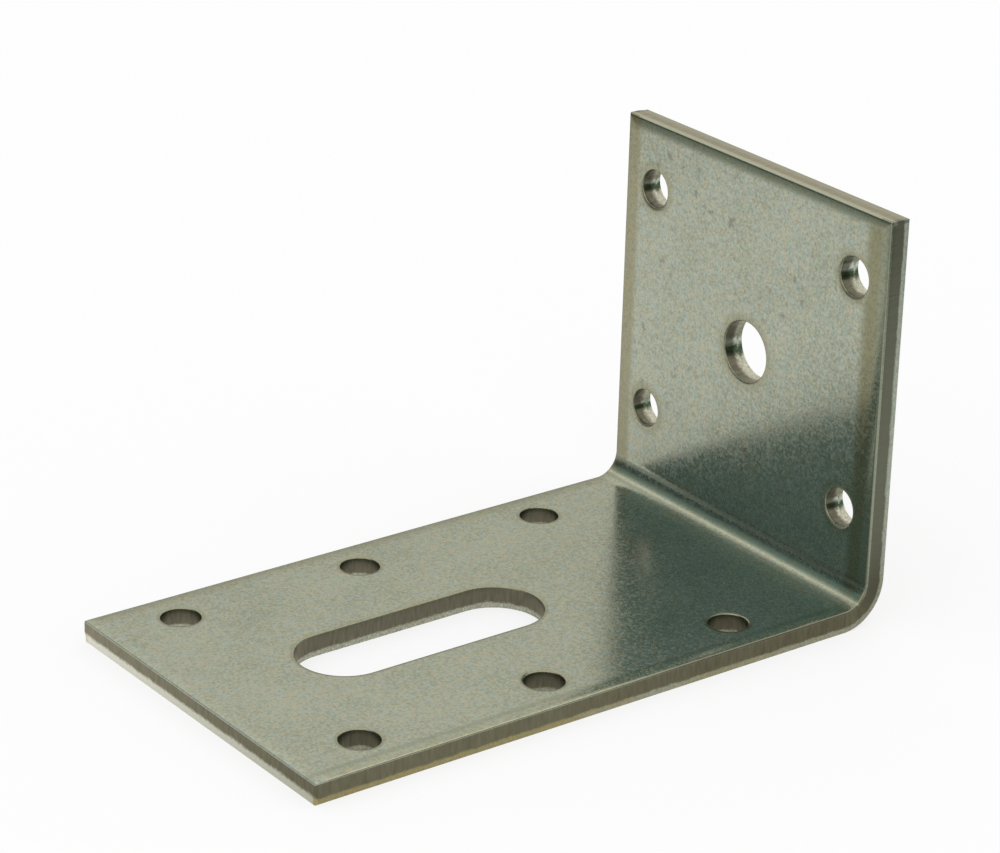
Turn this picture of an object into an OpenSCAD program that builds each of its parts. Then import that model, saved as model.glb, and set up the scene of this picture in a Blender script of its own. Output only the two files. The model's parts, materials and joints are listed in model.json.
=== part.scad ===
// Heavy angle anchor: one strip of galvanised steel sheet, punched and folded once.
// The long leg lies on its outer face and runs towards -Y, and the short leg stands at +Y.
// The origin is under the middle of the part, on the face that it lies on.

/* [Sheet] */
// Width of the strip, across both legs
width = 50; // [44:1:72]
// Long leg, from its free end to the back of the short leg
long_leg = 85; // [77:1:128]
// Short leg, from the underside of the long leg to its top edge
short_leg = 53.3; // [44:0.1:82]
// Thickness of the sheet
thickness = 3; // [2:0.5:4]
// Radius on the inside of the fold
bend_r = 3; // [1:0.1:5.5]

/* [Nail holes] */
// Diameter of the nail holes
nail_d = 5; // [3.6:0.1:6.4]
// Distance between the two rows of nail holes
nail_across = 38.3; // [27:0.1:42]
// Outer pair of the long leg, from the free end
nail_from_end = 10.1; // [6.5:0.1:18]
// Inner pair of the long leg, from the back of the short leg
nail_from_back = 20.1; // [13:0.1:31]
// Middle pair of the long leg, from halfway between the others towards the free end
nail_mid_shift = 0.9; // [0:0.1:7]
// Upper pair of the short leg, from the top edge
nail_from_top = 8.7; // [6.5:0.1:14.5]
// Lower pair of the short leg, from the underside
nail_from_base = 14.2; // [11:0.1:22]

/* [Bolt hole] */
// Diameter of the bolt hole in the short leg
bolt_d = 8; // [5.5:0.1:12.5]
// Centre of the bolt hole, from the underside
bolt_from_base = 28.5; // [22:0.1:36]

/* [Slot] */
// Width of the slot in the long leg
slot_w = 12; // [7.5:0.1:16]
// Length of the slot, end to end
slot_l = 34.6; // [24:0.1:45]
// Centre of the slot, from the free end
slot_from_end = 32.4; // [29:0.1:40]

/* [Cut edges] */
// Width of the band along a sheared edge that the cut drew down
edge_roll_w = 1.7; // [1:0.1:2.2]
// Depth that this band would fall by at the edge
edge_roll_h = 0.16; // [0.08:0.01:0.3]
// Radius of the corner between the band and the cut
edge_round = 0.3; // [0.1:0.05:0.5]
// Width of the band drawn down round a punched hole
rim_roll_w = 0.6; // [0.4:0.1:0.9]
// Depth that this band would fall by at the hole
rim_roll_h = 0.1; // [0.05:0.01:0.2]
// Radius of the corner between the band and the hole's wall
rim_round = 0.15; // [0.05:0.05:0.25]
// Height of the torn zone next to the outer face
tear_h = 0.9; // [0.4:0.1:1.1]
// How far the torn zone leans back from the cut at the outer face
tear_gap = 0.1; // [0.05:0.01:0.2]

/* [Hidden] */
$fn = 96;

// Overlap that carries each cutter past the faces it cuts
cut = 1;
// Lean of the torn zone, carried on below the outer face
tear_past = tear_gap * (1 + cut / tear_h);

// Faces and centres in the part's own frame
end_y = -long_leg / 2;
back_y = long_leg / 2;
fold_r = bend_r + thickness;
fold_y = back_y - fold_r;
outer_nail_y = end_y + nail_from_end;
inner_nail_y = back_y - nail_from_back;
middle_nail_y = (outer_nail_y + inner_nail_y) / 2 - nail_mid_shift;
slot_y = end_y + slot_from_end;
upper_nail_z = short_leg - nail_from_top;

// What a cut takes off the sheet's corner at the origin, with the sheet at -x and -y: a shallow arc
// that starts on the face, w from the edge, and a corner of radius r where that arc meets the cut
module rolled_loss(w, h, r) {
    roll_r = (w * w + h * h) / (2 * h);
    corner_y = sqrt(pow(roll_r - r, 2) - pow(w - r, 2)) - roll_r;
    meet_x = roll_r * (w - r) / (roll_r - r) - w;
    difference() {
        translate([-w, corner_y])
            square([w + cut, cut - corner_y]);
        translate([-w, -roll_r])
            circle(roll_r);
    }
    difference() {
        translate([meet_x, corner_y])
            square([cut - meet_x, cut - corner_y]);
        translate([-r, corner_y])
            circle(r);
    }
}

// What a cut takes off a sheared edge at x = 0, with the sheet at -x and its outer face on y = 0
module edge_loss() {
    translate([0, thickness])
        rolled_loss(edge_roll_w, edge_roll_h, edge_round);
    polygon([[0, tear_h], [-tear_past, -cut], [cut, -cut], [cut, tear_h]]);
}

// The sheet across its width, with the outer face on y = 0
module sheet_section() {
    difference() {
        translate([-width / 2, 0])
            square([width, thickness]);
        for (side = [0, 1])
            mirror([side, 0])
                translate([width / 2, 0])
                    edge_loss();
    }
}

// Half of a punched hole's section: straight wall, rolled rim and torn flare
module hole_section(r) {
    translate([0, -cut])
        square([r, thickness + 2 * cut]);
    intersection() {
        translate([r, thickness])
            mirror([1, 0])
                rolled_loss(rim_roll_w, rim_roll_h, rim_round);
        translate([r, 0])
            square([rim_roll_w, thickness + cut]);
    }
    polygon([[0, tear_h], [0, -cut], [r + tear_past, -cut], [r, tear_h]]);
}

// Round hole, punched along -z into a sheet with its outer face on z = 0
module punched_hole(d) {
    rotate_extrude()
        hole_section(d / 2);
}

// Slot along y, punched as the round holes are
module punched_slot() {
    straight = slot_l - slot_w;
    rotate([90, 0, 0])
        linear_extrude(straight, center = true)
            for (side = [0, 1])
                mirror([side, 0])
                    hole_section(slot_w / 2);
    for (turn = [0, 180])
        rotate(turn)
            translate([0, straight / 2, 0])
                rotate_extrude(angle = 180)
                    hole_section(slot_w / 2);
}

// Nail holes on both rows of one leg, at each of the distances along it
module nail_rows(along) {
    for (y = along, side = [-1, 1])
        translate([side * nail_across / 2, y, 0])
            punched_hole(nail_d);
}

// Frame of the short leg: y runs up from the underside and z from the outer face to the inner one
module on_short_leg() {
    translate([0, back_y, 0])
        rotate([90, 0, 0])
            children();
}

// Strip with its sheared sides, straight along each leg and turned through the fold
module folded_strip() {
    translate([0, fold_y, 0])
        rotate([90, 0, 0])
            linear_extrude(long_leg - fold_r)
                sheet_section();
    translate([0, fold_y, fold_r])
        rotate([0, 90, 0])
            rotate_extrude(angle = 90)
                translate([fold_r, 0])
                    rotate(90)
                        sheet_section();
    translate([0, back_y, fold_r])
        rotate([0, 0, 180])
            linear_extrude(short_leg - fold_r)
                sheet_section();
}

// Losses along the two sheared ends of the strip
module end_losses() {
    translate([0, end_y, 0])
        rotate([90, 0, -90])
            linear_extrude(width + 2 * cut, center = true)
                edge_loss();
    translate([0, back_y, short_leg])
        rotate([0, -90, 180])
            linear_extrude(width + 2 * cut, center = true)
                edge_loss();
}

module angle_anchor() {
    color([0.6, 0.6, 0.53])
        difference() {
            folded_strip();
            end_losses();
            nail_rows([outer_nail_y, middle_nail_y, inner_nail_y]);
            translate([0, slot_y, 0])
                punched_slot();
            on_short_leg() {
                nail_rows([nail_from_base, upper_nail_z]);
                translate([0, bolt_from_base, 0])
                    punched_hole(bolt_d);
            }
        }
}

angle_anchor();
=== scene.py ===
"""Heavy angle anchor: one strip of galvanised sheet, punched and folded once, on a plain stage."""

import json
import math
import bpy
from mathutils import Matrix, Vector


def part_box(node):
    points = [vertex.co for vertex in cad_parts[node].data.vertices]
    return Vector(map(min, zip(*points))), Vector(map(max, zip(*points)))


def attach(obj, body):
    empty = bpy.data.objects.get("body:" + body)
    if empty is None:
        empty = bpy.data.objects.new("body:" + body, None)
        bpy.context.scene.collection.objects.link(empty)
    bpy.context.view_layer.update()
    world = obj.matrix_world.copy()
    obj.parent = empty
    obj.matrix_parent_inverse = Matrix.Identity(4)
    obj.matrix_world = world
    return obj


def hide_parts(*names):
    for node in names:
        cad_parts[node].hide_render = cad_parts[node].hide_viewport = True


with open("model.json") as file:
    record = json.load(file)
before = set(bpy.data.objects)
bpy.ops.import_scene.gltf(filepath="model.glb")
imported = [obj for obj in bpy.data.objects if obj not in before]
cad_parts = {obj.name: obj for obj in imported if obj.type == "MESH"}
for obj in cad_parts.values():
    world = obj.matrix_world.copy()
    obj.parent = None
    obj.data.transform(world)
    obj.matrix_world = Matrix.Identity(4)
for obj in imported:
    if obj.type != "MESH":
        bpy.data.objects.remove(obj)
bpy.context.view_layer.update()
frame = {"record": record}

from types import SimpleNamespace

import bmesh
import bpy
from bpy.props import FloatProperty, FloatVectorProperty, PointerProperty
from mathutils import Matrix, Vector

bl_info = {
    "name": "Heavy angle anchor",
    "version": (1, 0, 0),
    "blender": (4, 5, 0),
    "location": "3D View > Sidebar > Anchor",
    "description": "Builds a punched and folded angle anchor of galvanised sheet, and its stage",
    "category": "Object",
}

MM = 0.001
CAD_NODE = "angle_anchor"
LOW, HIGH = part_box(CAD_NODE)
MOUNTS = {mount["name"]: mount for mount in frame["record"]["mounts"]}

# Image that the camera is set for, in pixels
IMAGE_W = 1000

# Rows of faces across a cut edge, from the inside face to the outer one
FLAT_ROWS = 1
ROLL_ROWS = 6
ROUND_ROWS = 4
WALL_ROWS = 3
TORN_ROWS = 5
BAND_ROWS = FLAT_ROWS + ROLL_ROWS + ROUND_ROWS
ROWS = BAND_ROWS + WALL_ROWS + TORN_ROWS

# Columns of faces along each cut edge
LONG_COLUMNS = 216
FOLD_COLUMNS = 24
SHORT_COLUMNS = 130
END_COLUMNS = 138
SIDE_COLUMNS = LONG_COLUMNS + FOLD_COLUMNS + SHORT_COLUMNS
NAIL_COLUMNS = 72
BOLT_COLUMNS = 112
SLOT_COLUMNS = 360

# What the sheet's mesh keeps for its materials
SHEET_PLACE = "sheet_place"
CUT_STAGE = "cut_stage"

# Values of the cut stage: the inside face, the top of the cut, the line where it tore and the outer face
STAGE_FACE = 0
STAGE_CUT = 1
STAGE_TEAR = 2
STAGE_OUTER = 3
STAGE_MARGIN = 0.01

MERGE = 0.001 * MM
SHARP_ANGLE = math.radians(25)
SEED = 7
WHITE = (1, 1, 1, 1)

# Patterns of the zinc and of the cuts: size of a spot, detail and seed
GRAIN = (0.34 * MM, 2, 2)
TINT = (0.6 * MM, 2, 8)
HUE = (1.4 * MM, 3, 14)
SATIN = (0.4 * MM, 2, 13)
CLOUD = (9 * MM, 2, 3)
WAVE = (26 * MM, 1, 9)
SPOT = (1.6 * MM, 3, 10)
SMUDGE = (14 * MM, 1, 11)
STREAK = (0.4 * MM, 3, 4)
PIT = (0.25 * MM, 3, 5)
TEAR_EDGE = (0.5 * MM, 2, 6)
OCHRE_PATCH = (26 * MM, 2, 12)

# Values of a pattern between which a spot, a smudge or a patch of ochre begins
SPOT_START = (0.58, 0.7)
SMUDGE_START = (0.42, 0.58)
OCHRE_START = (0.3, 0.5)

# Streaks of a cut are drawn out along the sheet's thickness
STREAK_DRAW = (1, 1, 0.2)

# Width of the zones along the strip's sides and ends, on the zinc and on the cuts
EDGE_ZONE = 1.9 * MM
CUT_ZONE = 0.5 * MM

# Bands of painted shade on the zinc, where the drawn-down edges and rims mirror darker surroundings:
# distance from a side or a hole up to which each is full, and where it has faded
RIGHT_BAND = (2.7 * MM, 4.6 * MM)
LEFT_BAND = (2 * MM, 3.2 * MM)
FAR_BAND = (1.8 * MM, 2.6 * MM)
RIM_BAND = (0.4 * MM, 1.6 * MM)

# Thin line of painted shade along the long leg's right side: where it starts, is full, fades and ends
NEAR_LINE = (0.9 * MM, 1.5 * MM, 1.7 * MM, 2.3 * MM)

# Stripes along the inside of the fold, as shares of its turn: where each starts, is full, fades and ends.
# They are painted shade lines, a painted highlight on the crest and a seam of dirt and painted shade
FOLD_STRIPES = {
    "lower_shade_line": (0.2, 0.28, 0.31, 0.38),
    "crest_highlight": (0.36, 0.39, 0.42, 0.46),
    "seam": (0.42, 0.56, 0.61, 0.73),
    "upper_shade_line": (0.74, 0.84, 0.86, 0.94),
}

# Places along the strip between which its sides darken towards the fold, and how far up the stains set in
NEAR_FOLD = (-10 * MM, 15 * MM)
STAIN_RISE = 30 * MM

# Stages of the cut between which a band begins, its corner begins, the pale line fades and the tear sets in
BAND_START = (0, 0.4)
CORNER_START = (0.66, 0.82)
PALE_FADE = (STAGE_CUT + 0.2, STAGE_CUT + 0.5)
TEAR_START = (STAGE_TEAR - 0.05, STAGE_TEAR + 0.4)

# How much each zone raises or lowers the light on a cut's smooth part and on its torn part, and the painted
# highlight on the strip's corners
SMOOTH_CHANGES = {"in_upright": -0.3, "near_fold": -0.25, "at_end": -0.2}
TORN_CHANGES = {"at_end": 0.5, "in_base": -0.45, "in_upright": -0.5, "side_up": -0.3}
EDGE_GLINT_CHANGES = {"near_fold": -0.4, "at_end": -0.2, "side_up": -0.3}

# How much less painted shade the zinc gets where a cut drew it down, as darkening and as tinted shade, and
# how much less tinted shade on the strip's sides, and how much less metallic its corner is at the free end
DRAWN_LESS_DARKENING = 0.35
DRAWN_LESS_BAND_SHADE = 0.4
SIDES_LESS_BAND_SHADE = 0.2
END_LESS_METAL = 0.35

# How much rougher the clouds and the fold's upper line are, and how much smoother the short leg's hole walls
CLOUD_ROUGH = 0.05
LINE_ROUGH = 0.15
HOLE_GLOSS = 0.1

# Stages by which the torn look strays, and by which it starts sooner in the short leg's holes
TEAR_STRAY = 0.5
HOLE_TEAR_RISE = 0.45

# How much less torn and less clear the cut of the top edge is, and the strength of a cut's relief
TOP_LESS_TORN = 0.5
TOP_LESS_CLEAR = 0.9
CUT_BUMP = 0.4

# Places along x between which the mirrored floor turns bright at the right, and green farther out
RIGHT_FLOOR = (30 * MM, 45 * MM)
GREEN_FLOOR = (110 * MM, 160 * MM)

# Parts of a direction between which the mirrored surroundings change
GLOW_RISE = (0.0, 0.6)
ROOM_RISE = (0.3, 0.48)
ROOM_SIDE = (-0.35, 0.1)
ROOM_BACK = (-0.55, -0.1)
GREEN_SIDE = (0.1, 0.4)
GREEN_RISE = (0.3, 0.5)


def mount_size(mount, size):
    """A size of one of the mounts, in metres."""
    return MOUNTS[mount]["dims"][size] * MM


def mount_place(mount):
    """Where one of the mounts is."""
    return Vector(MOUNTS[mount]["pos_m"])


def length(name, description, default):
    """A property that holds a length."""
    return FloatProperty(name=name, description=description, default=default,
                         unit="LENGTH", subtype="DISTANCE", precision=5)


def colour(name, description, default):
    """A property that holds a colour."""
    return FloatVectorProperty(name=name, description=description, default=default,
                               subtype="COLOR", min=0, max=1)


def portion(name, description, default):
    """A property that holds a share between 0 and 1."""
    return FloatProperty(name=name, description=description, default=default,
                         subtype="FACTOR", min=0, max=1)


def degrees(name, description, default):
    """A property that holds an angle, with its default in degrees."""
    return FloatProperty(name=name, description=description, default=math.radians(default),
                         unit="ROTATION", subtype="ANGLE")


def point(name, description, default):
    """A property that holds a place."""
    return FloatVectorProperty(name=name, description=description, default=default,
                               unit="LENGTH", subtype="TRANSLATION")


class SheetSizes(bpy.types.PropertyGroup):
    """Sizes of the folded strip."""

    width: length("Width", "Width of the strip, across both legs", HIGH.x - LOW.x)
    long_leg: length("Long leg", "From the free end to the back of the short leg", HIGH.y - LOW.y)
    short_leg: length("Short leg", "From the underside to the top edge", HIGH.z - LOW.z)
    thickness: length("Thickness", "Thickness of the sheet", mount_place("long_leg_nails").z)
    bend_r: length("Bend radius", "Radius on the inside of the fold", 3 * MM)


class HoleSizes(bpy.types.PropertyGroup):
    """Sizes and places of the punched holes."""

    nail_r: length("Nail hole radius", "Radius of the nail holes",
                   mount_size("long_leg_nails", "hole_r_mm"))
    nail_across: length("Nail rows apart", "Distance between the two rows of nail holes",
                        mount_size("long_leg_nails", "spacing_x_mm"))
    outer_nails: length("Outer nails", "Place of the outer pair along the long leg",
                        mount_place("long_leg_nails").y - mount_size("long_leg_nails", "spacing_y_mm") / 2)
    middle_nails: length("Middle nails", "Place of the middle pair along the long leg",
                         mount_place("long_leg_middle_nails").y)
    inner_nails: length("Inner nails", "Place of the inner pair along the long leg",
                        mount_place("long_leg_nails").y + mount_size("long_leg_nails", "spacing_y_mm") / 2)
    lower_nails: length("Lower nails", "Height of the lower pair on the short leg",
                        mount_place("short_leg_nails").z - mount_size("short_leg_nails", "spacing_y_mm") / 2)
    upper_nails: length("Upper nails", "Height of the upper pair on the short leg",
                        mount_place("short_leg_nails").z + mount_size("short_leg_nails", "spacing_y_mm") / 2)
    bolt_r: length("Bolt hole radius", "Radius of the bolt hole", mount_size("bolt_hole", "r_mm"))
    bolt_height: length("Bolt hole height", "Height of the bolt hole on the short leg",
                        mount_place("bolt_hole").z)
    slot_r: length("Slot end radius", "Radius of the slot's round ends",
                   mount_size("anchor_slot", "hole_r_mm"))
    slot_l: length("Slot length", "Length of the slot, end to end",
                   mount_size("anchor_slot", "slot_length_mm"))
    slot_place: length("Slot place", "Place of the slot's middle along the long leg",
                       mount_place("anchor_slot").y)


class CutSizes(bpy.types.PropertyGroup):
    """Sizes of the sheared edges and of the punched rims."""

    edge_roll_w: length("Edge roll width", "Width of the band that the shear drew down", 1.7 * MM)
    edge_roll_h: length("Edge roll depth", "Depth of that band at the edge", 0.16 * MM)
    edge_round: length("Edge round", "Radius between the band and the cut", 0.3 * MM)
    rim_roll_w: length("Rim roll width", "Width of the band drawn down round a hole", 0.6 * MM)
    rim_roll_h: length("Rim roll depth", "Depth of that band at the hole", 0.1 * MM)
    rim_round: length("Rim round", "Radius between the rim's band and the hole's wall", 0.15 * MM)
    roll_lead: length("Roll lead", "Flat strip kept before a band starts", 0.1 * MM)
    tear_h: length("Tear height", "Height of the torn zone next to the outer face", 0.9 * MM)
    tear_gap: length("Tear lean", "How far the torn zone leans back at the outer face", 0.1 * MM)
    end_tear: length("End tear", "How much higher the torn zone is on the strip's two ends", 0.4 * MM)
    tear_wander: length("Tear wander", "How far the tear line strays up and down", 0.5 * MM)
    tear_rough: length("Tear roughness", "Depth of the pits in the torn zone", 0.08 * MM)
    tear_grain: length("Tear grain", "Size of the steps along the tear line", 1.6 * MM)
    pit_grain: length("Pit grain", "Size of the pits in the torn zone", 0.7 * MM)


class FinishLook(bpy.types.PropertyGroup):
    """Colours and gloss of the zinc and of the bare cuts."""

    zinc: colour("Zinc", "Zinc coating of the sheet", (0.435, 0.505, 0.425))
    zinc_warm: colour("Warm zinc", "Warmer grains of the zinc", (0.495, 0.478, 0.395))
    zinc_cool: colour("Cool zinc", "Larger cool patches of the zinc", (0.41, 0.495, 0.48))
    zinc_dark: colour("Dark zinc", "Darker grains of the zinc", (0.26, 0.31, 0.255))
    # Painted highlight on the corners of the strip's edges and along the fold's crest
    highlighted: colour("Highlighted zinc", "Zinc rubbed bright on the outer corners", (0.7, 0.68, 0.52))
    # Painted shade, with a warm tint, on the bands that the cuts drew down
    band_shade: colour("Shaded zinc", "Tinted zinc on the bands along the cuts", (0.27, 0.25, 0.145))
    # Dirt in the fold's upper half, with painted shade that hides what the zinc would mirror there
    seam: colour("Seam", "Dirt in the upper half of the fold", (0.28, 0.255, 0.18))
    mark: colour("Marks", "Small stains on the zinc", (0.15, 0.155, 0.135))
    grazing: colour("Grazing tint", "Tint of what the zinc mirrors at a flat angle", (0.6, 0.6, 0.6))
    zinc_metal: portion("Zinc metal", "How metallic the zinc is", 0.93)
    zinc_rough: portion("Zinc roughness", "Roughness of the smoothest zinc", 0.17)
    satin: portion("Satin", "How much rougher the dullest grains are", 0.16)
    grain_h: length("Grain height", "Height of the zinc's grain", 0.007 * MM)
    wave_h: length("Wave height", "Height of the slow waves in the sheet", 0.1 * MM)
    burnish: colour("Burnished cut", "Smooth upper part of a cut", (0.335, 0.345, 0.27))
    burnish_dark: colour("Dark burnished cut", "Streaks in the smooth part of a cut", (0.205, 0.195, 0.15))
    # Painted shade on the cut of the short leg's sides, which mirrors dim surroundings
    burnish_up_shade: colour("Upright cut", "Smooth part of the cut on the short leg's sides",
                       (0.135, 0.135, 0.105))
    hole: colour("Hole wall", "Smooth part of a hole's wall", (0.24, 0.24, 0.19))
    hole_dark: colour("Dark hole wall", "Streaks in the smooth part of a hole's wall", (0.12, 0.12, 0.1))
    torn: colour("Torn cut", "Rough lower part of a cut", (0.74, 0.77, 0.7))
    torn_dark: colour("Dark torn cut", "Hollows in the rough part of a cut", (0.4, 0.43, 0.37))
    torn_pale: colour("Pale torn cut", "Clean torn steel on the free end and in the holes",
                      (0.92, 0.96, 0.93))
    ochre: colour("Stained cut", "Yellowish stain along the long leg's torn sides", (0.68, 0.58, 0.24))
    cut_rough: portion("Cut roughness", "Roughness of the smooth part of a cut", 0.32)
    torn_rough: portion("Torn roughness", "How much rougher the torn part of a cut is", 0.2)
    cut_relief: length("Cut relief", "Depth of the streaks and pits in a cut", 0.05 * MM)


class WearAndShadeLook(bpy.types.PropertyGroup):
    """How strongly wear and dirt show."""

    stains: portion("Stains", "Small stains inside the short leg", 0.55)
    # Painted shade on the bands along the edges and round the holes, where they mirror darker surroundings
    top_band: portion("Top band", "Darkened band along the top edge", 0.7)
    near_line: portion("Near line", "Thin dull line along the long leg's right side", 0.5)
    side_bands: portion("Side bands", "Shaded bands along the short leg's sides", 0.6)
    far_band: portion("Far band", "Shaded band along the long leg's left side", 0.2)
    drawn_bands: portion("Drawn bands", "Shading on the bands that the cuts drew down", 0.4)
    rims: portion("Rims", "Shading round the short leg's holes", 0.4)
    # Seam of dirt and painted shade in the fold, painted shade lines beside it and a painted highlight on
    # its crest
    seam: portion("Seam", "Dirt in the upper half of the fold", 0.65)
    upper_shade_line: portion("Upper line", "Dark line above that dirt", 0.8)
    lower_shade_line: portion("Lower line", "Dark line below the fold's crest", 0.7)
    crest_highlight: portion("Crest", "Zinc rubbed bright along the fold", 0.35)
    # Painted highlight along the corners of the strip's edges
    edge_glint: portion("Glint", "Corners rubbed bright along the strip's edges", 0.4)
    # Painted shade on the corners of the long leg's sides near the fold and of the short leg's sides
    fold_corner_shade: portion("Corner at the fold", "Dark corner of the long leg's sides near the fold", 0.9)
    upright_corner_shade: portion("Upright corner", "Dark corner of the short leg's sides", 0.4)
    # Painted shade on the cut of the short leg's sides
    upright_cut_shade: portion("Upright cut", "Darker cut on the short leg's sides", 0.85)
    # Painted highlight along the top edge's cut
    pale_line: portion("Pale line", "Pale line along the cut of the top edge", 0.3)
    ochre: portion("Ochre", "Yellowish stain along the long leg's torn sides", 0.8)


class StageLook(bpy.types.PropertyGroup):
    """Camera, floor and light."""

    azimuth: degrees("Azimuth", "Turn of the camera round the part", 52.7188)
    elevation: degrees("Elevation", "Height of the camera above the horizon", 22.8403)
    roll: degrees("Roll", "Turn of the camera about its own axis", 1.5957)
    distance: length("Distance", "From the camera to the point that it aims at", 0.4732)
    aim: point("Aim", "Point in the middle of the picture", (-0.0247, 0.01985, 0.01409))
    focal_px: FloatProperty(name="Focal length", default=3648.2,
                            description="Focal length of the camera, in pixels of the image")
    clip: length("Nearest", "Distance from the camera at which the picture starts", 0.01)
    floor_size: length("Floor size", "Side of the floor", 6.0)
    floor: colour("Floor", "Pale floor", (0.95, 0.95, 0.95))
    floor_glow: portion("Floor glow", "Share of the floor's colour that no shadow takes away", 0.75)
    pool: point("Pool", "Middle of the patch of light that the metal mirrors", (-0.1, -0.018, 0))
    pool_r: length("Pool radius", "Radius at which that patch starts to fade", 0.04)
    pool_fade: length("Pool fade", "Radius at which that patch has faded", 0.17)
    floor_dim: colour("Dim floor", "Floor outside the patch, as the metal mirrors it", (0.34, 0.32, 0.24))
    floor_far: colour("Right floor", "Floor at the right, as the metal mirrors it", (0.85, 0.88, 0.82))
    green: colour("Dim green", "Far floor and low surroundings at the right, as the metal mirrors them",
                  (0.085, 0.13, 0.07))
    room: colour("Dim room", "Lower part of the room in front, as the metal mirrors it",
                 (0.034, 0.059, 0.051))
    room_upper: colour("Upper room", "Upper part of the room in front, as the metal mirrors it",
                       (0.225, 0.37, 0.345))
    glow: colour("Warm light", "Bright surroundings, as the metal mirrors them", (1, 0.92, 0.785))
    horizon: colour("Horizon", "Lowest part of those surroundings", (0.68, 0.63, 0.51))


class Value:
    """One output of a node. Arithmetic on it adds the Math nodes that work out the result."""

    def __init__(self, graph, socket):
        self.graph = graph
        self.socket = socket

    def __add__(self, other):
        return self.graph.math("ADD", self, other)

    def __radd__(self, other):
        return self.graph.math("ADD", other, self)

    def __sub__(self, other):
        return self.graph.math("SUBTRACT", self, other)

    def __rsub__(self, other):
        return self.graph.math("SUBTRACT", other, self)

    def __mul__(self, other):
        return self.graph.math("MULTIPLY", self, other)

    def __rmul__(self, other):
        return self.graph.math("MULTIPLY", other, self)

    def __truediv__(self, other):
        return self.graph.math("DIVIDE", self, other)

    def __rtruediv__(self, other):
        return self.graph.math("DIVIDE", other, self)

    def __lt__(self, other):
        return self.graph.math("LESS_THAN", self, other)

    def __gt__(self, other):
        return self.graph.math("GREATER_THAN", self, other)


def pick(sockets, key):
    """The socket with that index, identifier or name."""
    if isinstance(key, int):
        return sockets[key]
    for socket in sockets:
        if socket.identifier == key:
            return socket
    return sockets[key]


class Graph:
    """Adds nodes to one tree."""

    def __init__(self, tree):
        self.tree = tree

    def node(self, kind, settings=None, values=None, out=0):
        """A node of that type, with its settings set first and then its sockets filled or linked."""
        made = self.tree.nodes.new(kind)
        for name, setting in (settings or {}).items():
            setattr(made, name, setting)
        for key, value in (values or {}).items():
            socket = pick(made.inputs, key)
            for one in value if isinstance(value, list) else [value]:
                if isinstance(one, Value):
                    self.tree.links.new(one.socket, socket)
                else:
                    socket.default_value = one
        return Value(self, pick(made.outputs, out)) if made.outputs else made

    def math(self, operation, *terms):
        """One Math node."""
        return self.node("ShaderNodeMath", {"operation": operation}, dict(enumerate(terms)))

    def share(self, value):
        """A value held between 0 and 1."""
        return self.node("ShaderNodeClamp", {}, {"Value": value})

    def step(self, value, start, end):
        """0 before start and 1 after end, with a smooth rise between them."""
        return self.node("ShaderNodeMapRange", {"interpolation_type": "SMOOTHSTEP"},
                         {"Value": value, "From Min": start, "From Max": end})

    def fade(self, value, start, end):
        """1 before start and 0 after end, with a smooth fall between them."""
        return 1 - self.step(value, start, end)

    def band(self, value, start, full, fade, end):
        """1 between full and fade, with a smooth rise from start and a smooth fall to end."""
        return self.step(value, start, full) * self.fade(value, fade, end)

    def spread(self, value, middle, gain):
        """A pattern's values, spread about a new middle and held between 0 and 1."""
        return self.share((value - 0.5) * gain + middle)

    def most(self, first, *others):
        """The largest of several values."""
        for other in others:
            first = self.math("MAXIMUM", first, other)
        return first

    def reach(self, place, middle):
        """Distance from a point."""
        return self.node("ShaderNodeVectorMath", {"operation": "DISTANCE"},
                         {0: place, 1: middle}, out="Value")

    def vector(self, x, y, z):
        """A vector of three values."""
        return self.node("ShaderNodeCombineXYZ", {}, {"X": x, "Y": y, "Z": z})

    def split(self, vector):
        """The three values of a vector."""
        parts = self.node("ShaderNodeSeparateXYZ", {}, {"Vector": vector}).socket.node.outputs
        return [Value(self, part) for part in parts]

    def noise(self, place, grain, detail=2.0, seed=0):
        """Soft random values about 0.5, with spots of about the grain's size."""
        return self.node("ShaderNodeTexNoise", {"noise_dimensions": "4D"},
                         {"Vector": place, "W": SEED + seed, "Scale": 1 / grain, "Detail": detail})

    def mix(self, share, low, high):
        """A colour between two others."""
        return self.node("ShaderNodeMix", {"data_type": "RGBA"},
                         {"Factor_Float": share, "A_Color": low, "B_Color": high}, out="Result_Color")


def opaque(rgb):
    """A colour property as a socket's four numbers."""
    return (*rgb, 1)


# Sheet

SIZE_GROUPS = (SheetSizes, HoleSizes, CutSizes)


def size_keys():
    """The sizes that drive the sheet's tree, in the order of its inputs."""
    return [(group, key) for group in SIZE_GROUPS for key in group.__annotations__]


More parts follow.
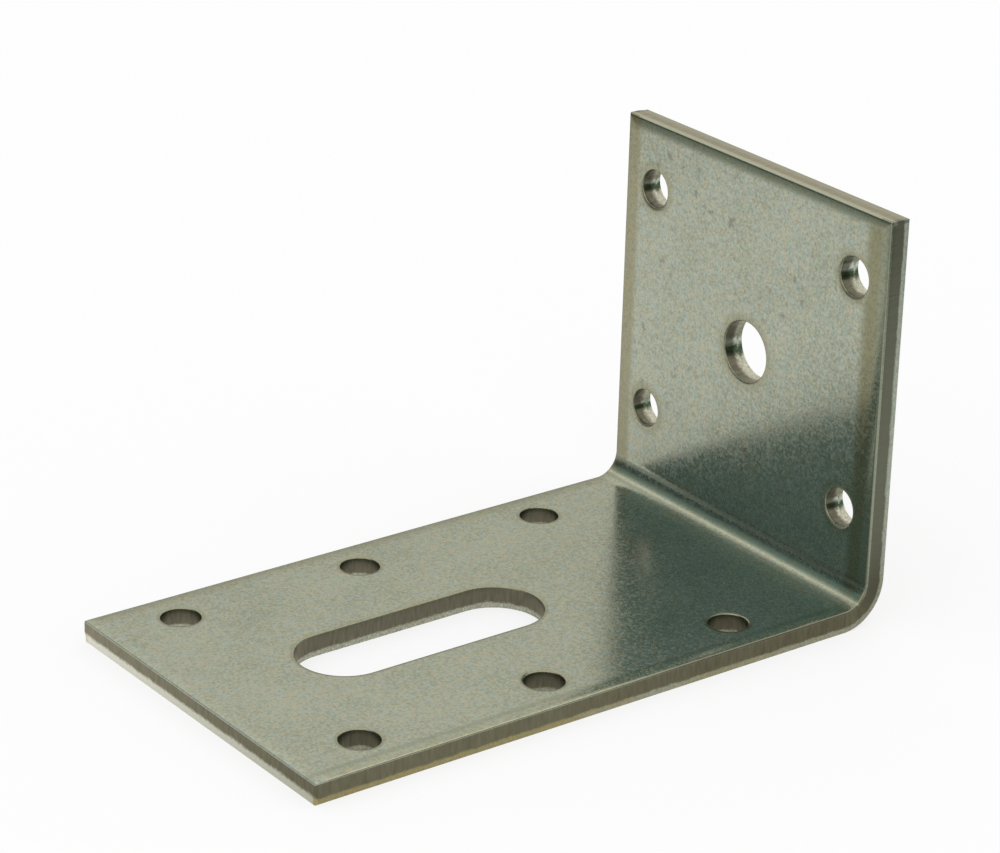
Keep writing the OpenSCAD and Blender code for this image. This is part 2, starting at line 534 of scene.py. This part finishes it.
def cut_profile(g, row, size, roll_w, roll_h, corner_r):
    """Inset, height and stage of a cut at each row: a shallow arc down from the inside face, a tighter one
    that turns it into the cut, the straight cut and the torn zone that leans back to the outer face."""
    roll = g.share((row - FLAT_ROWS) / ROLL_ROWS)
    turn = g.share((row - FLAT_ROWS - ROLL_ROWS) / ROUND_ROWS)
    wall = g.share((row - BAND_ROWS) / WALL_ROWS)
    torn = g.share((row - BAND_ROWS - WALL_ROWS) / TORN_ROWS)

    roll_r = (roll_w * roll_w + roll_h * roll_h) / (roll_h * 2)
    meet_sine = (roll_w - corner_r) / (roll_r - corner_r)
    meet = g.math("ARCSINE", meet_sine)
    meet_cosine = g.math("COSINE", meet)
    on_roll = meet * roll
    on_corner = meet + (math.pi / 2 - meet) * turn
    top = size.thickness - roll_r + (roll_r - corner_r) * meet_cosine

    lead = (1 - g.share(row / FLAT_ROWS)) * size.roll_lead
    inset = (lead + roll_w - roll_r * g.math("SINE", on_roll)
             - corner_r * (g.math("SINE", on_corner) - meet_sine) + size.tear_gap * torn)
    height = (size.thickness - roll_r * (1 - g.math("COSINE", on_roll))
              - corner_r * (meet_cosine - g.math("COSINE", on_corner))
              - (top - size.tear_h) * wall - size.tear_h * torn)
    stage = g.share(row / BAND_ROWS) + wall + torn
    return inset, height, stage


def ribbon(g, columns, size, roll, path):
    """A band of faces along a cut. The path turns a column and an inset into a place on the sheet."""
    grid = g.node("GeometryNodeMeshGrid", {}, {"Size X": 1, "Size Y": 1,
                                               "Vertices X": columns + 1, "Vertices Y": ROWS + 1})
    across, down, _ = g.split(g.node("GeometryNodeInputPosition"))
    column = g.math("ROUND", (across + 0.5) * columns)
    row = g.math("ROUND", (down + 0.5) * ROWS)
    inset, height, stage = cut_profile(g, row, size, *roll)
    staged = keep(g, grid, CUT_STAGE, stage)
    x, y = path(column, inset)
    placed = g.node("GeometryNodeSetPosition", {}, {"Geometry": staged, "Position": g.vector(x, y, height)})
    return g.node("GeometryNodeMergeByDistance", {}, {"Geometry": placed, "Distance": MERGE})


def keep(g, geometry, name, value, data_type="FLOAT"):
    """Geometry with a value stored on its points."""
    return g.node("GeometryNodeStoreNamedAttribute", {"data_type": data_type, "domain": "POINT"},
                  {"Geometry": geometry, "Name": name, "Value": value})


def outline_path(g, size, plan):
    """Path round the flat strip: up one side, across the top end, down the other side and back across."""
    def path(column, inset):
        def run(start, columns):
            return g.share((column - start) / columns)

        along = (run(0, SIDE_COLUMNS) - run(SIDE_COLUMNS + END_COLUMNS, SIDE_COLUMNS)) * SIDE_COLUMNS
        over = run(SIDE_COLUMNS, END_COLUMNS) - run(2 * SIDE_COLUMNS + END_COLUMNS, END_COLUMNS)
        x = size.width * (0.5 - over)
        y = (plan.end_y + (plan.fold_y - plan.end_y) * g.share(along / LONG_COLUMNS)
             + plan.fold_l * g.share((along - LONG_COLUMNS) / FOLD_COLUMNS)
             + (plan.top_y - plan.fold_y - plan.fold_l)
             * g.share((along - LONG_COLUMNS - FOLD_COLUMNS) / SHORT_COLUMNS))
        half = size.width / 2 - inset
        held_x = g.math("MAXIMUM", g.math("MINIMUM", x, half), half * -1)
        held_y = g.math("MAXIMUM", g.math("MINIMUM", y, plan.top_y - inset), plan.end_y + inset)
        return held_x, held_y
    return path


def hole_path(g, columns, radius, straight):
    """Path round a hole with round ends, with a straight stretch along y between them."""
    def path(column, inset):
        turn = column * 2 / columns
        half = g.math("MINIMUM", g.math("FLOOR", turn), 1)
        run = (turn - half) * (straight + radius * math.pi)
        angle = g.math("MAXIMUM", run - straight, 0) / radius + half * math.pi
        middle = (g.math("MINIMUM", run, straight) - straight / 2) * (1 - half * 2)
        reach = radius + inset
        return reach * g.math("COSINE", angle), middle + reach * g.math("SINE", angle)
    return path


def moved(g, geometry, y):
    """Geometry moved along the strip."""
    return g.node("GeometryNodeTransform", {}, {"Geometry": geometry, "Translation": g.vector(0, y, 0)})


def nail_holes(g, nail, size, plan):
    """The nail hole's band, set on both rows of each leg."""
    index = g.node("GeometryNodeInputIndex")
    rows = [size.outer_nails, size.middle_nails, size.inner_nails,
            plan.on_short(size.lower_nails), plan.on_short(size.upper_nails)]
    pairs = [g.node("GeometryNodePoints", {}, {
        "Count": 2, "Position": g.vector((index - 0.5) * size.nail_across, row, 0)}) for row in rows]
    points = g.node("GeometryNodeJoinGeometry", {}, {"Geometry": pairs})
    holes = g.node("GeometryNodeInstanceOnPoints", {}, {"Points": points, "Instance": nail})
    return g.node("GeometryNodeRealizeInstances", {}, {"Geometry": holes})


def tear(g, cuts, size, plan):
    """Cuts whose tear line strays and whose torn zone is pitted."""
    place = g.node("GeometryNodeInputPosition")
    _, y, _ = g.split(place)
    half = (plan.top_y - plan.end_y) / 2
    at_end = g.math("ABSOLUTE", y - plan.end_y - half) > half - size.tear_gap - MERGE
    stage = g.node("GeometryNodeInputNamedAttribute", {"data_type": "FLOAT"}, {"Name": CUT_STAGE})
    near = 1 - g.share(g.math("ABSOLUTE", stage - STAGE_TEAR))
    stray = ((g.noise(place, size.tear_grain) - 0.5) * size.tear_wander + at_end * size.end_tear) * near
    lined = g.node("GeometryNodeSetPosition", {}, {"Geometry": cuts, "Offset": g.vector(0, 0, stray)})
    below = g.share(stage - STAGE_TEAR)
    arch = below * (1 - below) * 4
    depth = g.noise(place, size.pit_grain, seed=1) * arch * size.tear_rough
    normal = g.split(g.node("GeometryNodeInputNormal"))
    pits = g.vector(*(part * depth * -1 for part in normal))
    return g.node("GeometryNodeSetPosition", {}, {"Geometry": lined, "Offset": pits})


def sheet_face(g, cuts, size, plan, stage, height, inset):
    """One face of the flat strip between its cuts: a fill on each leg and a strip over the fold."""
    edge_stage = g.node("GeometryNodeInputNamedAttribute", {"data_type": "FLOAT"}, {"Name": CUT_STAGE})
    _, y, _ = g.split(g.node("GeometryNodeInputPosition"))
    off_fold = g.math("ABSOLUTE", y - plan.fold_y - plan.fold_l / 2) > plan.fold_l / 2
    at_face = g.math("ABSOLUTE", edge_stage - stage) < STAGE_MARGIN
    loops = g.node("GeometryNodeMeshToCurve", {}, {"Mesh": cuts, "Selection": at_face * off_fold})
    closed = g.node("GeometryNodeSetSplineCyclic", {}, {"Geometry": loops, "Cyclic": True})
    legs = g.node("GeometryNodeFillCurve", {"mode": "TRIANGLES"},
                  {"Curve": closed, "Group ID": y > plan.fold_y})
    raised = g.node("GeometryNodeTransform", {}, {"Geometry": legs, "Translation": g.vector(0, 0, height)})

    grid = g.node("GeometryNodeMeshGrid", {}, {"Size X": 1, "Size Y": 1,
                                               "Vertices X": 2, "Vertices Y": FOLD_COLUMNS + 1})
    across, along, _ = g.split(g.node("GeometryNodeInputPosition"))
    strip = g.node("GeometryNodeSetPosition", {}, {"Geometry": grid, "Position": g.vector(
        across * (size.width - inset * 2), plan.fold_y + plan.fold_l * (along + 0.5), height)})
    face = g.node("GeometryNodeJoinGeometry", {}, {"Geometry": [raised, strip]})
    return keep(g, face, CUT_STAGE, stage)


def fold(g, flat, plan):
    """The flat strip, turned up through a right angle at its fold."""
    x, y, z = g.split(g.node("GeometryNodeInputPosition"))
    turn = g.share((y - plan.fold_y) / plan.fold_l) * (math.pi / 2)
    reach = plan.fold_r - z
    level = g.math("MINIMUM", y, plan.fold_y) + reach * g.math("SINE", turn)
    rise = g.math("MAXIMUM", y - plan.fold_y - plan.fold_l, 0)
    height = plan.fold_r - reach * g.math("COSINE", turn) + rise
    return g.node("GeometryNodeSetPosition", {}, {"Geometry": flat, "Position": g.vector(x, level, height)})


def flat_plan(size):
    """Lines of the flat strip: its sides, ends and fold. The sizes are numbers or values of a tree."""
    fold_r = size.bend_r + size.thickness
    fold_l = (size.bend_r + size.thickness / 2) * (math.pi / 2)
    fold_y = size.long_leg / 2 - fold_r
    return SimpleNamespace(fold_r=fold_r, fold_l=fold_l, fold_y=fold_y, half_w=size.width / 2,
                           end_y=size.long_leg * -0.5, top_y=fold_y + fold_l + size.short_leg - fold_r,
                           on_short=lambda height: height - fold_r + fold_y + fold_l)


def punch_and_fold():
    """Tree that cuts the strip with its holes from flat sheet and folds it."""
    tree = bpy.data.node_groups.new("punch and fold", "GeometryNodeTree")
    tree.interface.new_socket("Sheet", in_out="OUTPUT", socket_type="NodeSocketGeometry")
    for group, key in size_keys():
        socket = tree.interface.new_socket(group.bl_rna.properties[key].name, in_out="INPUT",
                                           socket_type="NodeSocketFloat")
        socket.subtype = "DISTANCE"
    for name in ("Zinc", "Cut"):
        tree.interface.new_socket(name, in_out="INPUT", socket_type="NodeSocketMaterial")

    g = Graph(tree)
    inputs = g.node("NodeGroupInput").socket.node.outputs
    size = SimpleNamespace(**{key: Value(g, inputs[group.bl_rna.properties[key].name])
                              for group, key in size_keys()})
    plan = flat_plan(size)
    edge_roll = (size.edge_roll_w, size.edge_roll_h, size.edge_round)
    rim_roll = (size.rim_roll_w, size.rim_roll_h, size.rim_round)
    slot_straight = size.slot_l - size.slot_r * 2
    outline = ribbon(g, 2 * (SIDE_COLUMNS + END_COLUMNS), size, edge_roll, outline_path(g, size, plan))
    edges = g.node("GeometryNodeFlipFaces", {}, {"Mesh": outline})
    nail = ribbon(g, NAIL_COLUMNS, size, rim_roll, hole_path(g, NAIL_COLUMNS, size.nail_r, 0))
    bolt = ribbon(g, BOLT_COLUMNS, size, rim_roll, hole_path(g, BOLT_COLUMNS, size.bolt_r, 0))
    slot = ribbon(g, SLOT_COLUMNS, size, rim_roll, hole_path(g, SLOT_COLUMNS, size.slot_r, slot_straight))
    cuts = tear(g, g.node("GeometryNodeJoinGeometry", {}, {"Geometry": [
        edges, nail_holes(g, nail, size, plan), moved(g, bolt, plan.on_short(size.bolt_height)),
        moved(g, slot, size.slot_place)]}), size, plan)

    inside = sheet_face(g, cuts, size, plan, STAGE_FACE, size.thickness, size.edge_roll_w + size.roll_lead)
    outside = sheet_face(g, cuts, size, plan, STAGE_OUTER, 0, size.tear_gap)
    turned = g.node("GeometryNodeFlipFaces", {}, {"Mesh": outside})
    flat = g.node("GeometryNodeMergeByDistance", {}, {
        "Geometry": g.node("GeometryNodeJoinGeometry", {}, {"Geometry": [cuts, inside, turned]}),
        "Distance": MERGE})
    placed = keep(g, flat, SHEET_PLACE, g.node("GeometryNodeInputPosition"), "FLOAT_VECTOR")
    folded = fold(g, placed, plan)

    stage = g.node("GeometryNodeInputNamedAttribute", {"data_type": "FLOAT"}, {"Name": CUT_STAGE})
    from_tear = g.math("ABSOLUTE", stage - STAGE_TEAR)
    creased = g.math("MAXIMUM", g.node("GeometryNodeInputMeshEdgeAngle") > SHARP_ANGLE,
                     from_tear < STAGE_MARGIN)
    smooth = g.node("GeometryNodeSetShadeSmooth", {"domain": "FACE"}, {"Geometry": folded})
    shaded = g.node("GeometryNodeSetShadeSmooth", {"domain": "EDGE"},
                    {"Geometry": smooth, "Selection": creased, "Shade Smooth": False})
    whole = g.node("GeometryNodeRealizeInstances", {}, {"Geometry": shaded})
    coated = g.node("GeometryNodeSetMaterial", {}, {"Geometry": whole,
                                                    "Material": Value(g, inputs["Zinc"])})
    on_cut = from_tear < STAGE_OUTER - STAGE_TEAR - STAGE_MARGIN
    cut = g.node("GeometryNodeSetMaterial", {}, {"Geometry": coated, "Selection": on_cut,
                                                 "Material": Value(g, inputs["Cut"])})
    g.node("NodeGroupOutput", {}, {"Sheet": cut})
    return tree


def require_closed(mesh):
    """Stops the build if the mesh has an open edge or faces that don't all point outwards."""
    form = bmesh.new()
    form.from_mesh(mesh)
    bad_edges = sum(not edge.is_contiguous for edge in form.edges)
    volume = form.calc_volume(signed=True)
    form.free()
    if bad_edges or volume <= 0:
        raise RuntimeError(f"the sheet isn't closed: {bad_edges} bad edges, volume {volume}")


# Materials

def new_material(name):
    """A material with an empty shader, its graph and the shader's node."""
    material = bpy.data.materials.new(name)
    material.use_nodes = True
    shader = next(node for node in material.node_tree.nodes if node.type == "BSDF_PRINCIPLED")
    return material, Graph(material.node_tree), shader


def connect(g, shader, values):
    """Fills or links the shader's sockets."""
    for name, value in values.items():
        if isinstance(value, Value):
            g.tree.links.new(value.socket, shader.inputs[name])
        else:
            shader.inputs[name].default_value = value


def attribute(g, name, out):
    """A value that the mesh keeps for its materials."""
    return g.node("ShaderNodeAttribute", {"attribute_name": name}, out=out)


def read_place(g, plan, zone):
    """Where a point of the sheet is: its place and cut stage, the zones along the strip's sides and ends,
    and how near the fold or how far up it is."""
    place = attribute(g, SHEET_PLACE, "Vector")
    x, y, _ = g.split(place)
    on_side = g.math("ABSOLUTE", x) > plan.half_w - zone
    upright = g.step(y, plan.fold_y, plan.fold_y + plan.fold_l)
    return SimpleNamespace(place=place, x=x, y=y, stage=attribute(g, CUT_STAGE, "Fac"), on_side=on_side,
                           at_end=y < plan.end_y + zone, at_top=y > plan.top_y - zone, upright=upright,
                           side_up=on_side * upright, to_fold=on_side * g.step(y, *NEAR_FOLD))


def changed(level, here, changes):
    """A level that some zones of the sheet raise or lower."""
    for zone, change in changes.items():
        level = getattr(here, zone) * change + level
    return level


def clean_zinc(g, here, look, grain, cloud):
    """Fine grain of two tints, larger cool patches, and darker grains that gather in soft clouds."""
    tint = g.spread(g.noise(here.place, *TINT), middle=0.5, gain=5)
    hue = g.spread(g.noise(here.place, *HUE), middle=0.38, gain=3)
    tone = g.spread(grain, middle=0.75 + (cloud - 0.5) * 0.7, gain=2.4)
    tinted = g.mix(tint, opaque(look.zinc), opaque(look.zinc_warm))
    bright = g.mix(hue, tinted, opaque(look.zinc_cool))
    return g.mix(tone, opaque(look.zinc_dark), bright)


def stained_zinc(g, here, zinc, look, wear_and_shade, plan):
    """Zinc with small stains inside the short leg."""
    spots = g.step(g.noise(here.place, *SPOT), *SPOT_START) * here.inside
    smudges = g.step(g.noise(here.place, *SMUDGE), *SMUDGE_START)
    up_leg = g.step(here.y, plan.fold_y, plan.fold_y + STAIN_RISE)
    return g.mix(spots * smudges * up_leg * wear_and_shade.stains, zinc, opaque(look.mark))


def hole_rims(g, here, plan, holes):
    """1 at the edges of the short leg's holes, fading to 0 over a short way from them."""
    mirrored = g.vector(g.math("ABSOLUTE", here.x), here.y, 0)
    nail_x = holes.nail_across / 2
    rims = ((nail_x, holes.lower_nails, holes.nail_r), (nail_x, holes.upper_nails, holes.nail_r),
            (0, holes.bolt_height, holes.bolt_r))
    near, far = RIM_BAND
    rings = [g.fade(g.reach(mirrored, (x, plan.on_short(height), 0)), radius + near, radius + far)
             for x, height, radius in rims]
    return g.share(sum(rings))


def shaded_band_zinc(g, here, zinc, look, wear_and_shade, plan, holes):
    """Zinc dulled and worn along the strip's edges and round the short leg's holes."""
    from_right = plan.half_w - here.x
    from_left = plan.half_w + here.x
    up_leg = here.upright * here.inside
    base = (1 - here.upright) * here.inside
    drawn = g.step(here.stage, *BAND_START) * here.inside
    right_band = g.fade(from_right, *RIGHT_BAND) * up_leg
    left_band = g.fade(from_left, *LEFT_BAND) * up_leg
    far_band = g.fade(from_left, *FAR_BAND) * base
    near_line = g.band(from_right, *NEAR_LINE) * base
    darkening = g.most(right_band * (1 - drawn * DRAWN_LESS_DARKENING), drawn * here.at_top * wear_and_shade.top_band,
                  near_line * wear_and_shade.near_line)
    darkened = g.mix(darkening, zinc, opaque(look.zinc_dark))

    off_ends = 1 - here.at_end - here.at_top
    edges = drawn * off_ends * (wear_and_shade.drawn_bands - here.on_side * SIDES_LESS_BAND_SHADE)
    bands = (left_band * wear_and_shade.side_bands + right_band * (wear_and_shade.side_bands - drawn * DRAWN_LESS_BAND_SHADE)
             + far_band * wear_and_shade.far_band)
    rims = hole_rims(g, here, plan, holes) * here.inside * wear_and_shade.rims
    return g.mix(g.most(edges, bands, rims), darkened, opaque(look.band_shade))


def fold_stripes(g, here, plan):
    """Stripes along the inside of the fold, from its lower edge up."""
    up_fold = (here.y - plan.fold_y) / plan.fold_l
    return SimpleNamespace(**{name: g.band(up_fold, *limits) * here.inside
                              for name, limits in FOLD_STRIPES.items()})


def zinc_sheet(look, wear_and_shade, plan, holes):
    """Satin zinc with stains and worn bands, a dirty seam and a bright crest in the fold, and corners that
    are rubbed bright or dark."""
    material, g, shader = new_material("zinc sheet")
    here = read_place(g, plan, EDGE_ZONE)
    here.inside = here.stage < STAGE_TEAR
    grain = g.noise(here.place, *GRAIN)
    cloud = g.noise(here.place, *CLOUD)
    zinc = clean_zinc(g, here, look, grain, cloud)
    stained = stained_zinc(g, here, zinc, look, wear_and_shade, plan)
    band_shade = shaded_band_zinc(g, here, stained, look, wear_and_shade, plan, holes)

    stripe = fold_stripes(g, here, plan)
    # Dirt and painted shade over the fold's upper half, and painted shade lines that hide a mirrored line
    # and narrow the crest's highlight
    seam_shaded = g.mix(stripe.seam * wear_and_shade.seam, band_shade, opaque(look.seam))
    lines = stripe.upper_shade_line * wear_and_shade.upper_shade_line + stripe.lower_shade_line * wear_and_shade.lower_shade_line
    lined = g.mix(lines, seam_shaded, opaque(look.zinc_dark))

    # Painted shade on the corners of the long leg's sides near the fold and of the short leg's sides
    corner = g.step(here.stage, *CORNER_START) * here.inside
    here.near_fold = here.to_fold * (1 - here.upright)
    dark = corner * (here.near_fold * wear_and_shade.fold_corner_shade + here.side_up * wear_and_shade.upright_corner_shade)
    dimmed = g.mix(dark, lined, opaque(look.burnish_dark))
    # Painted highlight along the corners of the strip's edges and along the fold's crest
    on_edge = g.most(here.on_side, here.at_end + here.at_top)
    edge_glint = on_edge * changed(wear_and_shade.edge_glint, here, EDGE_GLINT_CHANGES)
    shine = g.most(corner * edge_glint, stripe.crest_highlight * wear_and_shade.crest_highlight)

    satin = g.spread(g.noise(here.place, *SATIN), middle=0.32, gain=4)
    rough = satin * look.satin + (cloud - 0.5) * CLOUD_ROUGH + stripe.upper_shade_line * LINE_ROUGH
    relief = grain * look.grain_h + g.noise(here.place, *WAVE) * look.wave_h
    connect(g, shader, {
        "Base Color": g.mix(shine, dimmed, opaque(look.highlighted)),
        "Metallic": look.zinc_metal - corner * here.at_end * END_LESS_METAL,
        "Specular Tint": opaque(look.grazing),
        "Roughness": look.zinc_rough + rough,
        "Normal": g.node("ShaderNodeBump", {}, {"Strength": 1.0, "Distance": 1.0, "Height": relief}),
    })
    return material


def smooth_cut(g, here, look, wear_and_shade, streak):
    """Streaked steel above the tear line, darker in the holes and on the short leg's sides."""
    bright = g.mix(here.in_hole, opaque(look.burnish), opaque(look.hole))
    dark = g.mix(here.in_hole, opaque(look.burnish_dark), opaque(look.hole_dark))
    lit = g.spread(streak, middle=changed(0.55, here, SMOOTH_CHANGES), gain=1.5)
    streaked = g.mix(lit, dark, bright)
    # Painted shade on the cut of the short leg's sides
    plain = g.mix(here.side_up * wear_and_shade.upright_cut_shade, streaked, opaque(look.burnish_up_shade))
    # Painted highlight along the top of the top edge's cut
    pale_line = here.at_top * g.fade(here.stage, *PALE_FADE)
    return g.mix(pale_line * wear_and_shade.pale_line, plain, opaque(look.torn))


def torn_cut(g, here, look, wear_and_shade, plan, pits):
    """Pitted steel below the tear line, palest on the free end and in the holes, with ochre stains along
    the long leg's sides."""
    clean = g.mix(g.share(here.at_end + here.in_hole), opaque(look.torn), opaque(look.torn_pale))
    patches = g.step(g.noise(here.place, *OCHRE_PATCH), *OCHRE_START)
    stain = patches * here.on_side * g.fade(here.y, 0, plan.fold_y)
    stained = g.mix(stain * wear_and_shade.ochre, clean, opaque(look.ochre))
    clear = g.spread(pits, middle=changed(0.7, here, TORN_CHANGES), gain=2)
    return g.mix(clear * (1 - here.at_top * TOP_LESS_CLEAR), opaque(look.torn_dark), stained)


def sheared_cut(look, wear_and_shade, plan):
    """Bare steel of a cut: streaked and smooth above the tear line, rough and pale below it."""
    material, g, shader = new_material("sheared cut")
    here = read_place(g, plan, CUT_ZONE)
    on_base = here.y < plan.fold_y
    here.in_hole = 1 - g.share(here.on_side + here.at_end + here.at_top)
    here.in_base = here.in_hole * on_base
    here.in_upright = here.in_hole * (1 - on_base)
    here.near_fold = here.to_fold * on_base

    drawn = g.node("ShaderNodeVectorMath", {"operation": "MULTIPLY"}, {0: here.place, 1: STREAK_DRAW})
    streak = g.noise(drawn, *STREAK)
    pits = g.noise(here.place, *PIT)
    stray = (g.noise(here.place, *TEAR_EDGE) - 0.5) * TEAR_STRAY
    below = g.step(here.stage + stray + here.in_upright * HOLE_TEAR_RISE, *TEAR_START)
    torn = below * (1 - here.at_top * TOP_LESS_TORN)
    smooth = smooth_cut(g, here, look, wear_and_shade, streak)
    rough = torn_cut(g, here, look, wear_and_shade, plan, pits)
    rougher = torn * (1 - here.in_upright) * look.torn_rough
    connect(g, shader, {
        "Base Color": g.mix(torn, smooth, rough),
        "Metallic": 1.0,
        "Roughness": look.cut_rough + rougher - here.in_upright * HOLE_GLOSS,
        "Normal": g.node("ShaderNodeBump", {}, {"Strength": CUT_BUMP, "Distance": look.cut_relief,
                                                "Height": streak * (1 - torn) + pits * torn}),
    })
    return material


class ANCHOR_OT_sheet(bpy.types.Operator):
    """Punch and fold the galvanised sheet of the anchor"""

    bl_idname = "anchor.sheet"
    bl_label = "Angle anchor sheet"

    def execute(self, context):
        scene = context.scene
        tree = punch_and_fold()
        sheet = bpy.data.objects.new("angle_anchor_sheet", bpy.data.meshes.new("angle_anchor_sheet"))
        scene.collection.objects.link(sheet)
        modifier = sheet.modifiers.new("punch and fold", "NODES")
        modifier.node_group = tree
        identifiers = {item.name: item.identifier for item in tree.interface.items_tree
                       if item.in_out == "INPUT"}
        sizes = {SheetSizes: scene.anchor_sheet, HoleSizes: scene.anchor_holes, CutSizes: scene.anchor_cuts}
        for group, key in size_keys():
            modifier[identifiers[group.bl_rna.properties[key].name]] = getattr(sizes[group], key)
        plan = flat_plan(scene.anchor_sheet)
        look, wear_and_shade = scene.anchor_finish, scene.anchor_wear
        modifier[identifiers["Zinc"]] = zinc_sheet(look, wear_and_shade, plan, scene.anchor_holes)
        modifier[identifiers["Cut"]] = sheared_cut(look, wear_and_shade, plan)

        graph = context.evaluated_depsgraph_get()
        mesh = bpy.data.meshes.new_from_object(sheet.evaluated_get(graph), preserve_all_data_layers=True,
                                               depsgraph=graph)
        sheet.modifiers.remove(modifier)
        mesh.materials.pop(index=list(mesh.materials).index(None))
        sheet.data = mesh
        require_closed(mesh)
        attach(sheet, "root")
        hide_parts(CAD_NODE)
        return {"FINISHED"}


# Stage

def add_camera(scene, stage):
    """The camera, at the photograph's angle and frame."""
    turn, lift = stage.azimuth, stage.elevation
    back = Vector((math.sin(turn) * math.cos(lift), -math.cos(turn) * math.cos(lift), math.sin(lift)))
    right = Vector((math.cos(turn), math.sin(turn), 0))
    facing = Matrix((right, back.cross(right), back)).transposed() @ Matrix.Rotation(stage.roll, 3, "Z")
    data = bpy.data.cameras.new("camera")
    data.sensor_fit = "HORIZONTAL"
    data.lens = stage.focal_px / IMAGE_W * data.sensor_width
    data.clip_start = stage.clip
    camera = bpy.data.objects.new("camera", data)
    camera.matrix_world = Matrix.Translation(Vector(stage.aim) + back * stage.distance) @ facing.to_4x4()
    scene.collection.objects.link(camera)
    scene.camera = camera


def rays(g, name):
    """1 for one kind of ray and 0 for the others."""
    return g.node("ShaderNodeLightPath", out=name)


def pale_floor(stage):
    """Matt white that keeps a soft shadow. The metal mirrors a bright patch at the left, bright floor at
    the right with dim green beyond it, and dim floor elsewhere."""
    material = bpy.data.materials.new("pale floor")
    material.use_nodes = True
    material.node_tree.nodes.clear()
    g = Graph(material.node_tree)
    place = g.node("ShaderNodeTexCoord", out="Object")
    x, _, _ = g.split(place)
    mirrored = rays(g, "Is Glossy Ray")
    seen = g.share(mirrored + rays(g, "Is Camera Ray") + rays(g, "Is Transmission Ray"))
    faded = mirrored * g.step(g.reach(place, stage.pool), stage.pool_r, stage.pool_fade)
    right = g.mix(g.step(x, *GREEN_FLOOR), opaque(stage.floor_far), opaque(stage.green))
    dim = g.mix(g.step(x, *RIGHT_FLOOR), opaque(stage.floor_dim), right)
    lit = g.mix(mirrored, WHITE, opaque(stage.glow))
    matt = g.node("ShaderNodeBsdfDiffuse", {}, {"Color": g.mix(faded, opaque(stage.floor), dim)})
    glow = g.node("ShaderNodeEmission", {}, {"Color": g.mix(faded, lit, dim), "Strength": 1})
    blend = g.node("ShaderNodeMixShader", {}, {0: seen * stage.floor_glow, 1: matt, 2: glow})
    g.node("ShaderNodeOutputMaterial", {}, {"Surface": blend})
    return material


def add_floor(scene, stage):
    """A wide flat floor under the part."""
    half = stage.floor_size / 2
    corners = [(-half, -half, 0), (half, -half, 0), (half, half, 0), (-half, half, 0)]
    mesh = bpy.data.meshes.new("floor")
    mesh.from_pydata(corners, [], [range(len(corners))])
    mesh.materials.append(pale_floor(stage))
    floor = bpy.data.objects.new("floor", mesh)
    scene.collection.objects.link(floor)


def add_world(scene, stage):
    """Soft white light from all round. The metal mirrors warm light, with a dim room in front at the left
    and dim green low at the right."""
    world = bpy.data.worlds.new("studio")
    world.use_nodes = True
    world.node_tree.nodes.clear()
    g = Graph(world.node_tree)
    x, y, z = g.split(g.node("ShaderNodeTexCoord", out="Generated"))
    bright = g.mix(g.step(z, *GLOW_RISE), opaque(stage.horizon), opaque(stage.glow))
    room = g.mix(g.step(z, *ROOM_RISE), opaque(stage.room), opaque(stage.room_upper))
    low_right = g.step(x, *GREEN_SIDE) * g.fade(z, *GREEN_RISE)
    behind = g.mix(low_right, bright, opaque(stage.green))
    front = g.mix(g.step(x, *ROOM_SIDE), room, bright)
    mirrored = g.mix(g.step(y, *ROOM_BACK), front, behind)
    seen = g.mix(rays(g, "Is Glossy Ray"), WHITE, mirrored)
    sky = g.node("ShaderNodeBackground", {}, {"Color": seen, "Strength": 1})
    g.node("ShaderNodeOutputWorld", {}, {"Surface": sky})
    scene.world = world


class ANCHOR_OT_stage(bpy.types.Operator):
    """Set the camera, the pale floor and the soft light"""

    bl_idname = "anchor.stage"
    bl_label = "Stage"

    def execute(self, context):
        scene = context.scene
        stage = scene.anchor_stage
        add_camera(scene, stage)
        add_floor(scene, stage)
        add_world(scene, stage)
        scene.view_settings.view_transform = "Standard"
        return {"FINISHED"}


class ANCHOR_PT_sidebar(bpy.types.Panel):
    """Lists what the anchor is built from"""

    bl_idname = "ANCHOR_PT_sidebar"
    bl_label = "Angle anchor"
    bl_space_type = "VIEW_3D"
    bl_region_type = "UI"
    bl_category = "Anchor"

    def draw(self, context):
        for operator in OPERATORS:
            self.layout.operator(operator.bl_idname)
        for name, group in SCENE_GROUPS.items():
            column = self.layout.column(heading=group.__doc__)
            for key in group.__annotations__:
                column.prop(getattr(context.scene, name), key)


SCENE_GROUPS = {
    "anchor_sheet": SheetSizes,
    "anchor_holes": HoleSizes,
    "anchor_cuts": CutSizes,
    "anchor_finish": FinishLook,
    "anchor_wear": WearAndShadeLook,
    "anchor_stage": StageLook,
}
OPERATORS = (ANCHOR_OT_sheet, ANCHOR_OT_stage)
CLASSES = (*SCENE_GROUPS.values(), *OPERATORS, ANCHOR_PT_sidebar)


def register():
    """Adds the classes and the scene's settings."""
    for cls in CLASSES:
        bpy.utils.register_class(cls)
    for name, group in SCENE_GROUPS.items():
        setattr(bpy.types.Scene, name, PointerProperty(type=group))


def unregister():
    """Takes the settings and the classes out again."""
    for name in SCENE_GROUPS:
        delattr(bpy.types.Scene, name)
    for cls in reversed(CLASSES):
        bpy.utils.unregister_class(cls)


def main():
    """Builds the sheet and its stage, and writes the sizes of the solid and of the finished piece."""
    register()
    bpy.ops.anchor.sheet()
    bpy.ops.anchor.stage()


if __name__ == "__main__":
    main()
